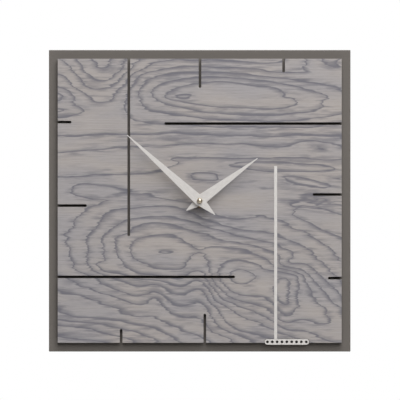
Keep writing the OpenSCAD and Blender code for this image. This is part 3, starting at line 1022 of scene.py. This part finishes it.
@dataclass
class HandAssembly:
    """Both hands with their collets, the nut that clamps the movement and the cap nut."""

    hour_coating: Finish
    minute_coating: Finish
    brass: Finish
    polished: Finish
    edge_round: float = 0.00012
    steps: int = 72
    cap_bore: float = 0.0012
    cap_skirt: float = 0.0011
    cap_chamfer: float = 0.0002
    cap_groove: float = 0.0001
    cap_smooth: float = 60.0
    tube_bore: float = 0.00265
    tube_chamfer: float = 0.0002
    flange_depth: float = 0.0002
    thread_radius: float = 0.004
    thread_pitch: float = 0.0005
    thread_depth: float = 0.00022
    thread_smooth: float = 25.0

    def build(self) -> None:
        """Builds every piece of the assembly."""
        softened("hour_pointer", "hour_hand", self.hour_coating, Body.HOUR, self.edge_round)
        softened("minute_pointer", "minute_hand", self.minute_coating, Body.MINUTE, self.edge_round)
        softened("hour_collet", "hour_hand_collet", self.brass, Body.HOUR, self.edge_round)
        softened("minute_collet", "minute_hand_collet", self.brass, Body.MINUTE, self.edge_round)
        self.build_cap()
        softened("clamp_nut", "centre_nut", self.brass, Body.CLOCK, self.edge_round)
        self.build_tube()

    def build_cap(self) -> None:
        """Turns the domed cap nut, with a small step under its dome."""
        low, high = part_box("cap_nut")
        radius = (high.x - low.x) / 2
        centre = middle("cap_nut")
        centre.y = high.y
        skirt, chamfer, groove = self.cap_skirt, self.cap_chamfer, self.cap_groove
        dome = [
            (radius * math.cos(math.radians(a)), skirt + radius * math.sin(math.radians(a)))
            for a in range(4, 91, 4)
        ]
        dome[-1] = (0.0, skirt + radius)
        profile = [
            (self.cap_bore, 0.0),
            (radius - chamfer, 0.0),
            (radius, chamfer),
            (radius, skirt - chamfer - groove),
            (radius - groove, skirt - chamfer),
            (radius - groove, skirt - groove / 2),
            *dome,
        ]
        Workpiece("cap").turned(profile, centre, FORWARD, self.steps, False).finish(
            self.polished, Body.MINUTE, ["cap_nut"], self.cap_smooth
        )

    def build_tube(self) -> None:
        """Turns the threaded tube with its ridges."""
        low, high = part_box("centre_tube")
        centre = middle("centre_tube")
        centre.y = high.y
        length = high.y - low.y
        flange = (high.x - low.x) / 2
        bore, depth, chamfer = self.tube_bore, self.flange_depth, self.tube_chamfer
        crest, valley = self.thread_radius, self.thread_radius - self.thread_depth
        profile = [(bore, 0.0), (flange, 0.0), (flange, depth), (valley, depth)]
        ridges = int((length - depth) / self.thread_pitch) - 1
        for k in range(ridges):
            root = depth + (k + 0.5) * self.thread_pitch
            profile += [(valley, root), (crest, root + self.thread_pitch / 2)]
        profile += [(valley, length - chamfer), (crest - 2 * chamfer, length), (bore, length)]
        Workpiece("threaded_tube").turned(profile, centre, FORWARD, self.steps, True).finish(
            self.brass, Body.CLOCK, ["centre_tube"], self.thread_smooth
        )


@dataclass
class MovementAssembly:
    """Quartz movement: its housing, cell and knob, and the works inside."""

    black: Finish
    natural: Finish
    label: Finish
    can: Finish
    spring: Finish
    inside: dict[str, Finish]
    edge_round: float = 0.00022
    fine_round: float = 0.0001
    steps: int = 96
    mark_height: float = 0.0003
    mark_size: float = 0.0032
    mark_stroke: float = 0.0007
    mark_gap: float = 0.0028
    mark_reach: float = 0.021
    arrow_radius: float = 0.0078
    arrow_head: float = 0.0016
    arrow_sweep: tuple[int, int, int] = (40, 141, 5)
    crimp: float = 0.0006
    nub_radius: float = 0.00275
    nub_height: float = 0.0013
    nub_edge: float = 0.0004
    sleeve_gap: float = 0.00001
    sleeve_lip: float = 0.00006
    sleeve_end: float = 0.0002

    def build(self) -> None:
        """Builds the housing, the cell and the knob, and dresses the works."""
        softened("movement_housing", "movement_case", self.black, Body.CLOCK, self.edge_round)
        self.build_lid()
        softened("knob", "setting_knob", self.natural, Body.SETTING, self.fine_round)
        softened("contact_plus", "terminal_positive", self.spring, Body.CLOCK, self.fine_round)
        softened("contact_minus", "terminal_negative", self.spring, Body.CLOCK, self.fine_round)
        self.build_cell()
        self.dress_inside()

    def build_lid(self) -> None:
        """Rounds the lid's edges and adds its raised marks: polarity signs and a setting arrow."""
        _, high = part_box("movement_cover")
        knob = middle("setting_knob")
        cell = middle("battery_cell")
        work = Workpiece.from_node("movement_lid", "movement_cover").soften(self.edge_round)
        y_span = (high.y - self.mark_height, high.y + self.mark_height)
        long, thin = self.mark_size / 2, self.mark_stroke / 2
        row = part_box("battery_cell")[1].z + self.mark_gap
        for sign in (1, -1):
            work.prism(rectangle(cell.x + sign * self.mark_reach, row, long, thin), *y_span)
        for side in (1, -1):
            z = row + side * (long + thin) / 2
            work.prism(rectangle(cell.x + self.mark_reach, z, thin, (long - thin) / 2), *y_span)
        sweep = [math.radians(a) for a in range(*self.arrow_sweep)]
        outer, inner = self.arrow_radius + thin, self.arrow_radius - thin
        band = [(knob.x + outer * math.cos(a), knob.z + outer * math.sin(a)) for a in sweep]
        band += [(knob.x + inner * math.cos(a), knob.z + inner * math.sin(a)) for a in reversed(sweep)]
        work.prism(band, *y_span)
        for end, turn in ((sweep[0], -1), (sweep[-1], 1)):
            tip = end + turn * self.arrow_head / self.arrow_radius
            corners = ((outer + thin * 2, end), (self.arrow_radius, tip), (inner - thin * 2, end))
            head = [(knob.x + r * math.cos(a), knob.z + r * math.sin(a)) for r, a in corners]
            work.prism(head, *y_span)
        work.finish(self.black, Body.CLOCK, ["movement_cover"])

    def build_cell(self) -> None:
        """Turns the cell's can, with its crimped ends, and its sleeve."""
        low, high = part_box("battery_cell")
        sleeve_low, sleeve_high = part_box("battery_sleeve")
        centre = middle("battery_cell")
        centre.x = low.x
        radius = (high.z - low.z) / 2
        nub_r, nub, edge, crimp = self.nub_radius, self.nub_height, self.nub_edge, self.crimp
        body = high.x - low.x - nub
        profile = [
            (0.0, crimp / 2),
            (radius - 2.6 * crimp, crimp / 2),
            (radius - 2.2 * crimp, 0.0),
            (radius - crimp, 0.0),
            (radius - 0.3 * crimp, 0.3 * crimp),
            (radius, crimp),
            (radius, body - 2 * crimp),
            (radius - 0.3 * crimp, body - crimp),
            (radius - crimp, body - 0.3 * crimp),
            (radius - 1.8 * crimp, body - 0.3 * crimp),
            (radius - 2.4 * crimp, body - crimp),
            (nub_r + crimp, body - crimp),
            (nub_r + 0.3 * crimp, body - 0.7 * crimp),
            (nub_r, body),
            (nub_r, body + nub - edge),
            (nub_r - 0.25 * edge, body + nub - 0.375 * edge),
            (nub_r - edge, body + nub),
            (0.0, body + nub),
        ]
        Workpiece("cell").turned(profile, centre, ALONG, self.steps, False).finish(
            self.can, Body.BATTERY, ["battery_cell"]
        )
        skin = (sleeve_high.z - sleeve_low.z) / 2
        length = sleeve_high.x - sleeve_low.x
        inside, lip, end = radius + self.sleeve_gap, skin - self.sleeve_lip, self.sleeve_end
        shell = [(inside, 0.0), (lip, 0.0), (skin, end)]
        shell += [(skin, length - end), (lip, length), (inside, length)]
        start = Vector((sleeve_low.x, centre.y, centre.z))
        Workpiece("cell_sleeve").turned(shell, start, ALONG, self.steps, True).finish(
            self.label, Body.BATTERY, ["battery_sleeve"]
        )

    def dress_inside(self) -> None:
        """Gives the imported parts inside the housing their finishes."""
        for node, finish in self.inside.items():
            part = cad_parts[node]
            part.data.materials.clear()
            part.data.materials.append(finish.material)
            LOG.info("%s: dressed in %s", node, finish.slot)


# ---------------------------------------------------------------- studio


@dataclass(frozen=True)
class SoftBox:
    """A square soft light aimed at the face.

    Attributes:
        name: Its name.
        offset: Its place from the middle of the face.
        side: The length of its side.
        power: Its power in watts.
    """

    name: str
    offset: tuple[float, float, float]
    side: float
    power: float


@dataclass
class Studio:
    """Pale floor, soft light from above and a long-lens camera square to the face."""

    face: Vector
    floor_paint: Finish
    view_width: float = 0.3971
    distance: float = 3.0
    aim_right: float = 0.0003
    aim_up: float = 0.0008
    sensor: float = 36.0
    floor_drop: float = 1.0
    floor_side: float = 3.0
    sky_from: float = -0.2
    sky_low: float = 0.008
    sky_high: float = 0.18
    soft_boxes: tuple[SoftBox, ...] = (
        SoftBox("key", (0.50, -2.00, 1.60), 2.4, 80.0),
        SoftBox("overhead", (0.20, -0.90, 2.40), 1.2, 36.0),
        SoftBox("behind", (-0.80, 2.00, 1.00), 1.8, 62.0),
    )

    def build(self) -> None:
        """Sets up the camera, the lights, the world and the floor."""
        self.place_camera()
        self.place_world()
        for box in self.soft_boxes:
            self.place_light(box)
        self.place_floor()
        bpy.context.scene.view_settings.view_transform = "Standard"

    def place_camera(self) -> None:
        """Puts the camera straight in front of the face."""
        data = bpy.data.cameras.new("camera")
        data.sensor_width = self.sensor
        data.lens = self.sensor * self.distance / self.view_width
        camera = bpy.data.objects.new("camera", data)
        camera.location = self.face + Vector((self.aim_right, -self.distance, self.aim_up))
        camera.rotation_euler = (math.radians(90.0), 0.0, 0.0)
        bpy.context.scene.collection.objects.link(camera)
        bpy.context.scene.camera = camera

    def place_world(self) -> None:
        """Makes the surroundings white to the eye and softer as a light, brighter overhead."""
        world = bpy.data.worlds.new("surroundings")
        bpy.context.scene.world = world
        world.use_nodes = True
        air = Nodes(world.node_tree)
        direction = air.node("ShaderNodeTexCoord", {}, {})
        split = air.node("ShaderNodeSeparateXYZ", {}, {0: direction.outputs["Generated"]})
        levels = {"From Min": self.sky_from, "To Min": self.sky_low, "To Max": self.sky_high}
        glow = air.node("ShaderNodeMapRange", {}, {"Value": split.outputs[2], **levels})
        path = air.node("ShaderNodeLightPath", {}, {})
        seen = path.outputs["Is Camera Ray"]
        strength = air.node("ShaderNodeMix", {}, {0: seen, 2: glow.outputs[0], 3: 1.0})
        white = {"Color": (1.0, 1.0, 1.0), "Strength": strength.outputs[0]}
        background = air.node("ShaderNodeBackground", {}, white)
        air.node("ShaderNodeOutputWorld", {}, {0: background.outputs[0]})

    def place_light(self, box: SoftBox) -> None:
        """Hangs one soft light in its place, aimed at the face.

        Args:
            box: The light.
        """
        offset = Vector(box.offset)
        data = bpy.data.lights.new(box.name, "AREA")
        data.size = box.side
        data.energy = box.power
        light = bpy.data.objects.new(box.name, data)
        light.location = self.face + offset
        light.rotation_euler = (-offset).to_track_quat("-Z", "Y").to_euler()
        bpy.context.scene.collection.objects.link(light)

    def place_floor(self) -> None:
        """Lays the pale floor below the clock."""
        work = bmesh.new()
        bmesh.ops.create_grid(work, x_segments=2, y_segments=2, size=self.floor_side / 2)
        drop = Vector((0.0, 0.0, -self.floor_drop))
        bmesh.ops.translate(work, verts=work.verts, vec=self.face + drop)
        mesh = bpy.data.meshes.new("floor")
        work.to_mesh(mesh)
        work.free()
        floor = bpy.data.objects.new("floor", mesh)
        floor.data.materials.append(self.floor_paint.material)
        bpy.context.scene.collection.objects.link(floor)


def main() -> None:
    """Builds the clock's pieces in order and sets up the studio."""
    axis = middle("cap_nut")
    panel_low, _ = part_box("face_panel")
    board_low, board_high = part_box("back_board")
    board_mid = (board_low + board_high) / 2
    axis_on_face = (axis.x, panel_low.y, axis.z)

    half_side = (board_high.x - board_low.x) / 2
    lacquer = Lacquer("board_lacquer", (0.131, 0.118, 0.107), 0.62, half_side, tuple(board_mid))
    veneer = Veneer(
        "grey_veneer", (0.345, 0.314, 0.297), 0.55, axis_on_face, panel_low.y,
        cool=(0.305, 0.288, 0.292), line=(0.108, 0.107, 0.132), core=(0.038, 0.028, 0.017),
    )
    strip_coat = Coating("pale_strip", (0.585, 0.56, 0.54), 0.45)
    hour_coat = Coating("hand_coating", (0.56, 0.535, 0.515), 0.38, 53.7)
    minute_coat = Coating("hand_coating", (0.56, 0.535, 0.515), 0.38, 312.2)
    brass = Metal("bright_brass", (0.60, 0.43, 0.20), 0.28, (900, 3000, 900))
    polished = Metal("polished_nut", (0.64, 0.55, 0.42), 0.3, (500, 500, 500), 0.05, 0.000002)
    zinc = Metal("zinc_plate", (0.52, 0.53, 0.55), 0.36, (260, 1800, 700))
    rubber = Moulding("black_rubber", (0.020, 0.020, 0.021), 0.75, 1200.0, 0.00004, 0.3)
    black = Moulding("black_plastic", (0.022, 0.022, 0.024), 0.48, 2200.0, 0.00003)
    natural = Moulding("natural_plastic", (0.78, 0.76, 0.68), 0.40)
    steel = Metal("stator_steel", (0.50, 0.50, 0.50), 0.38, (200, 900, 2200))
    spring = Metal("spring_steel", (0.66, 0.64, 0.60), 0.22, (2600, 900, 300))
    _, cell_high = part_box("battery_cell")
    label = Label("cell_label", (0.030, 0.032, 0.036), 0.28, (0.45, 0.20, 0.07), cell_high.x - 0.014)
    can = Metal("cell_can", (0.62, 0.62, 0.62), 0.25, (300, 1500, 1500))
    inside: dict[str, Finish] = {
        "rubber_washer": rubber,
        "circuit_board": Laminate("green_laminate", (0.015, 0.075, 0.035), 0.25),
        "circuit_chip": Moulding("black_epoxy", (0.012, 0.012, 0.012), 0.55),
        "quartz_crystal": Metal("bright_can", (0.70, 0.70, 0.70), 0.15),
        "coil_winding": Winding("copper_wire", (0.55, 0.20, 0.07), 0.3),
        "rotor_magnet": Metal("magnet_grey", (0.10, 0.10, 0.11), 0.5, tarnish=0.3),
        "stator": steel,
        "coil_core": steel,
        "train_plate_screws": zinc,
        "clutch_spring": spring,
    }
    moulded = ("hour_wheel", "motion_wheel", "minute_arbor", "train_plate", "centre_wheel", "third_wheel",
               "seconds_wheel", "intermediate_wheel", "rotor_pinion", "coil_bobbin", "setting_shaft")
    inside.update({node: natural for node in moulded})

    Studio(Vector(axis_on_face), FloorPaint("floor_paint", (0.66, 0.66, 0.65), 0.7)).build()
    BoardAssembly(lacquer, zinc, rubber).build()
    FaceAssembly(veneer, strip_coat).build()
    HandAssembly(hour_coat, minute_coat, brass, polished).build()
    MovementAssembly(black, natural, label, can, spring, inside).build()


if __name__ == "__main__":
    logging.basicConfig(level=logging.INFO, format="%(name)s: %(message)s")
    main()
